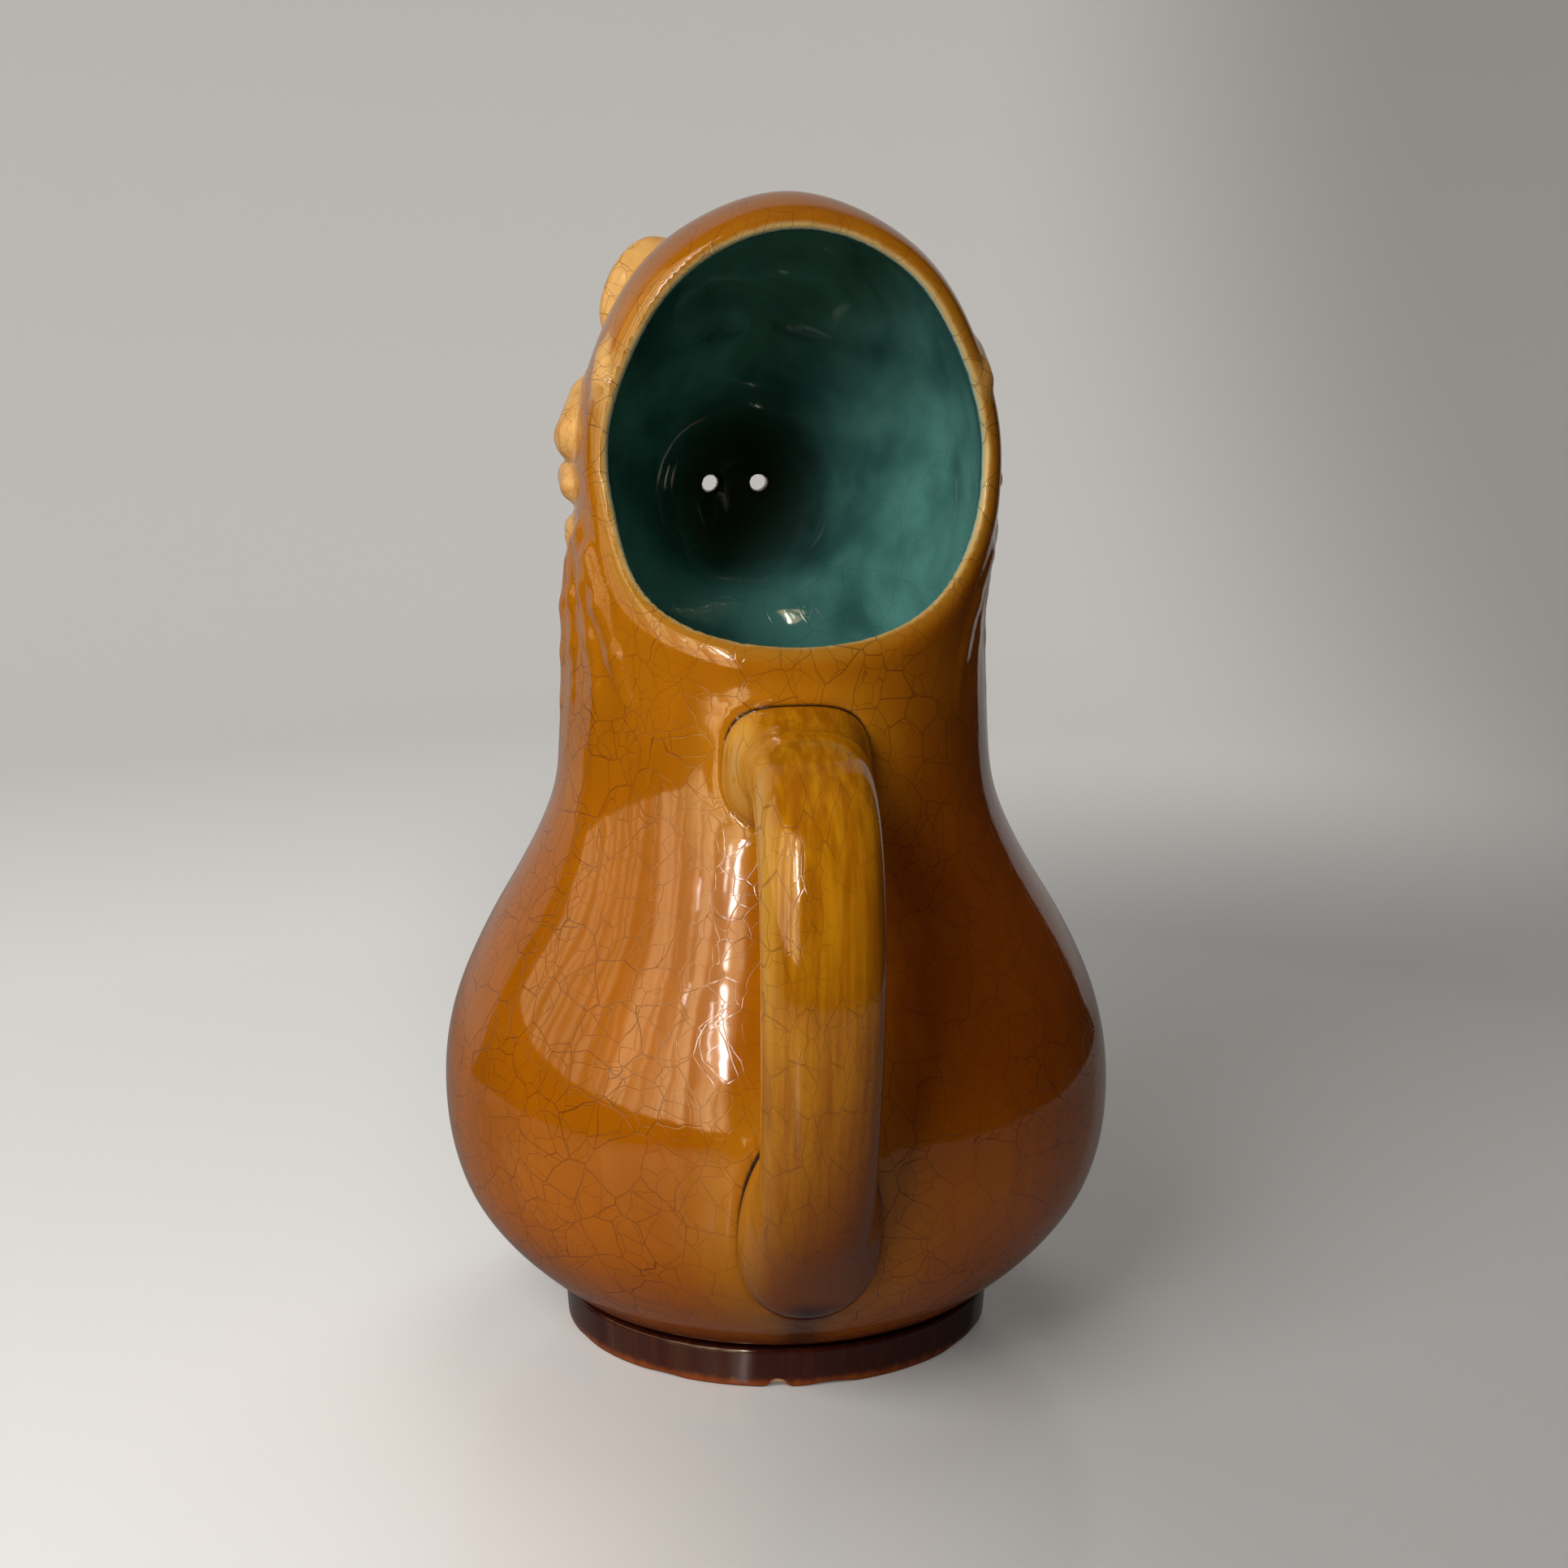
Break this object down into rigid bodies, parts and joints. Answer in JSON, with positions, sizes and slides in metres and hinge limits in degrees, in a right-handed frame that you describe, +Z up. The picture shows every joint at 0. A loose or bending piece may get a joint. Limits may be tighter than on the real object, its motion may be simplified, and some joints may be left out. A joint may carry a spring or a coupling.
{
  "type": "monkey jug",
  "caption": "Glazed pottery jug: pear body, monkey head open at the back for filling, muzzle with pouring holes, loop handle.",
  "frame": {"origin": "centre of the underside on the plane the jug stands on; the recessed underside's middle is 1.2 mm above it", "axes": "+Z up; +Y the way the face looks and pours, with the handle at -Y; +X to the animal's own right"},
  "size_m": [0.15, 0.1861, 0.2525],
  "materials": {
    "amber_glaze": "glossy honey-amber lead glaze with fine dark crazing",
    "foot_glaze": "glossy dark red-brown glaze",
    "handle_glaze": "glossy ochre glaze with fine crazing, brown at the lower end",
    "tan_glaze": "glossy tan glaze, darker in the hollows",
    "rim_glaze": "thin glossy glaze over the lip, cream where it thins",
    "turquoise_glaze": "glossy turquoise majolica glaze inside",
    "eye_glaze": "glossy near-black brown glaze"
  },
  "bodies": {
    "root": {"body_shell": "amber_glaze", "foot_ring": "foot_glaze", "head_shell": "amber_glaze", "rim_lip": "rim_glaze", "interior_glaze": "turquoise_glaze", "muzzle": "tan_glaze", "brow": "amber_glaze", "ear_left": "tan_glaze", "ear_right": "tan_glaze", "eye_left": "eye_glaze", "eye_right": "eye_glaze", "temple_curl_left": "tan_glaze", "temple_curl_right": "tan_glaze", "cheek_tuft_left": "tan_glaze", "cheek_tuft_right": "tan_glaze", "jaw_tuft_left": "tan_glaze", "jaw_tuft_right": "tan_glaze", "throat_tuft_left": "tan_glaze", "throat_tuft_right": "tan_glaze", "upper_handle_pad": "handle_glaze", "lower_handle_pad": "handle_glaze", "handle": "handle_glaze"}
  },
  "joints": []
}
